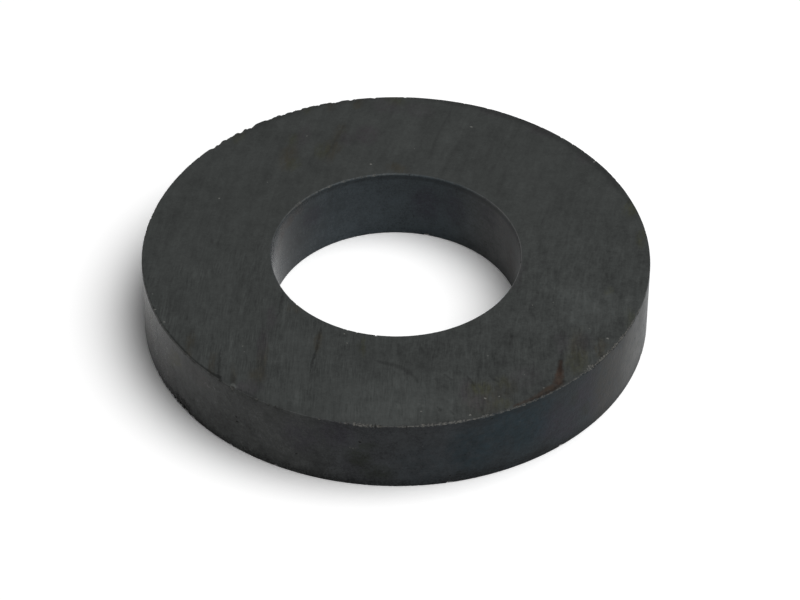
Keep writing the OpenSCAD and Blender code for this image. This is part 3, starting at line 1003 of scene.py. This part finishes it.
def makeFerrite():
    material = bpy.data.materials.new("groundFerrite")
    material.use_nodes = True
    tree = material.node_tree
    tree.nodes.clear()
    out = addNode(tree, "OutputMaterial")
    shader = addNode(tree, "BsdfPrincipled")
    feed(tree, out.inputs["Surface"], shader.outputs[0])
    shader.inputs["Specular IOR Level"].default_value = ferriteFinish["specular"]

    coords = addNode(tree, "TexCoord")
    place = vectorCalc(tree, "SCALE", coords.outputs["Object"], 1 / mm)  # millimetres
    split = addNode(tree, "SeparateXYZ")
    feed(tree, split.inputs[0], place)
    x, y, z = split.outputs
    reach = vectorCalc(tree, "LENGTH", vectorCalc(tree, "MULTIPLY", place, (1, 1, 0)))
    degrees = calc(tree, "DEGREES", calc(tree, "ARCTAN2", y, x))
    degrees = calc(tree, "FLOORED_MODULO", degrees, 360.0)
    ground, pale, broken = [addNode(tree, "Attribute", attribute_name=name).outputs["Fac"]
                            for name in ("ground", "pale", "broken")]

    faceColour, faceRoughness, faceHeight = groundFace(tree, place, x, y, z, degrees, reach)
    wallColour, wallRoughness, wallHeight = firedWall(tree, place, x, z, reach)
    colour = mixColour(tree, ground, wallColour, faceColour)
    grit = cloud(tree, place, ringBody["gritSize"], 3.0, 0.7)
    # painted shade in the broken surfaces that are not pale
    breakShade = times(tree, broken, calc(tree, "SUBTRACT", 1.0, pale))
    breakShade = times(tree, breakShade, ferriteFinish["darkShare"])
    colour = mixColour(tree, breakShade, colour, ferriteFinish["darkBreak"])
    paleShare = times(tree, pale, ramp(tree, grit, 0.38, 0.60, 0.15, 1.0))
    colour = mixColour(tree, paleShare, colour, ferriteFinish["paleColour"])
    feed(tree, shader.inputs["Base Color"], colour)

    roughness = mixValue(tree, ground, wallRoughness, faceRoughness)
    roughness = mixValue(tree, broken, roughness, ferriteFinish["brokenRoughness"])
    feed(tree, shader.inputs["Roughness"], roughness)

    height = mixValue(tree, ground, wallHeight, faceHeight)
    gritty = times(tree, grit, broken)
    height = calc(tree, "MULTIPLY_ADD", gritty, ferriteFinish["brokenBump"], height)
    bump = addNode(tree, "Bump")
    for name, value in (("Distance", mm), ("Strength", 1.0), ("Height", height)):
        feed(tree, bump.inputs[name], value)
    feed(tree, shader.inputs["Normal"], bump.outputs["Normal"])
    count = len(tree.nodes) + sum(len(group.nodes) for group in bpy.data.node_groups)
    print(f"groundFerrite: {count} nodes")
    return material


ring = buildRing()
ring.data.materials.append(makeFerrite())
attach(ring, "root")
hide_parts("ring_magnet")


# bench, background, lamp and camera

studio = {
    "floorSize": 1.0,
    "floorFade": (0.06, 0.17),
    "floorColour": 0.80,
    "floorSeen": 1.16,  # the same floor where the camera sees it, white and still shadowed
    "floorMirrored": 1.1,  # and where a reflection shows it
    "floorRoughness": 0.8,
    "floorGap": 0.02,  # millimetres under the ring
    "dome": 0.165,
    "domeMirrored": 0.9,
    "keyAngle": -5.0,
    "keyHeight": 67.0,
    "keyAway": 0.9,
    "keySize": 0.85,
    "keyPower": 8.25,
    "cameraHeight": 40.85,
    "cameraAway": 0.4656,
    "cameraTilt": 0.28,
    "lens": 162.7,
    "sensor": 36.0,
    "shift": (0.0052, -0.0219),
}


# picks by the kind of ray: light on things, a reflection or a look through glass, or the camera
def byRay(tree, mix, lighting, mirrored, seen):
    rays = addNode(tree, "LightPath")
    glossy = calc(tree, "MAXIMUM", rays.outputs["Is Glossy Ray"], rays.outputs["Is Transmission Ray"])
    return mix(tree, rays.outputs["Is Camera Ray"], mix(tree, glossy, lighting, mirrored), seen)


def makeFloor():
    half = studio["floorSize"] / 2
    mesh = bpy.data.meshes.new("benchTop")
    level = low.z - studio["floorGap"] * mm
    corners = [(x * half, y * half, level) for x, y in ((-1, -1), (1, -1), (1, 1), (-1, 1))]
    mesh.from_pydata(corners, [], [(0, 1, 2, 3)])
    floor = addObject("benchTop", mesh)
    material = bpy.data.materials.new("paleBench")
    material.use_nodes = True
    tree = material.node_tree
    shader = tree.nodes["Principled BSDF"]
    shader.inputs["Roughness"].default_value = studio["floorRoughness"]
    shader.inputs["Specular IOR Level"].default_value = 0.0
    colours = [(studio[name],) * 3 for name in ("floorColour", "floorMirrored", "floorSeen")]
    feed(tree, shader.inputs["Base Color"], byRay(tree, mixColour, *colours))
    # the bench ends softly in the white round it, so no view shows a horizon
    coords = addNode(tree, "TexCoord")
    fade = ramp(tree, vectorCalc(tree, "LENGTH", coords.outputs["Object"]), *studio["floorFade"])
    clear = addNode(tree, "BsdfTransparent")
    blend = addNode(tree, "MixShader")
    for socket, value in zip(blend.inputs, (fade, shader.outputs[0], clear.outputs[0])):
        feed(tree, socket, value)
    feed(tree, tree.nodes["Material Output"].inputs["Surface"], blend.outputs[0])
    mesh.materials.append(material)


def makeDome():
    world = bpy.data.worlds.new("studioDome")
    bpy.context.scene.world = world
    world.use_nodes = True
    tree = world.node_tree
    back = tree.nodes["Background"]
    back.inputs["Color"].default_value = (1, 1, 1, 1)
    strength = byRay(tree, mixValue, studio["dome"], studio["domeMirrored"], 1.0)  # 1 is white
    feed(tree, back.inputs["Strength"], strength)


def aimAt(place, target):
    return (target - place).to_track_quat("-Z", "Y").to_matrix().to_4x4()


def makeKey():
    lamp = bpy.data.lights.new("softKey", "AREA")
    lamp.shape = "DISK"
    lamp.size = studio["keySize"]
    lamp.energy = studio["keyPower"]
    around, above = math.radians(studio["keyAngle"]), math.radians(studio["keyHeight"])
    out = math.cos(above)
    place = Vector((math.cos(around) * out, math.sin(around) * out, math.sin(above))) * studio["keyAway"]
    key = addObject("softKey", lamp)
    key.matrix_world = Matrix.Translation(place) @ aimAt(place, Vector((0, 0, 0)))


def makeCamera():
    data = bpy.data.cameras.new("viewCamera")
    data.lens = studio["lens"]
    data.sensor_width = studio["sensor"]
    data.shift_x, data.shift_y = studio["shift"]
    data.clip_start = 0.01
    above = math.radians(studio["cameraHeight"])
    middle = (low + high) / 2
    place = middle + studio["cameraAway"] * Vector((0, -math.cos(above), math.sin(above)))
    camera = addObject("viewCamera", data)
    camera.matrix_world = (Matrix.Translation(place) @ aimAt(place, middle)
                           @ Matrix.Rotation(math.radians(studio["cameraTilt"]), 4, "Z"))
    bpy.context.scene.camera = camera


makeFloor()
makeDome()
makeKey()
makeCamera()
bpy.context.scene.view_settings.view_transform = "Standard"
print("studio ready")
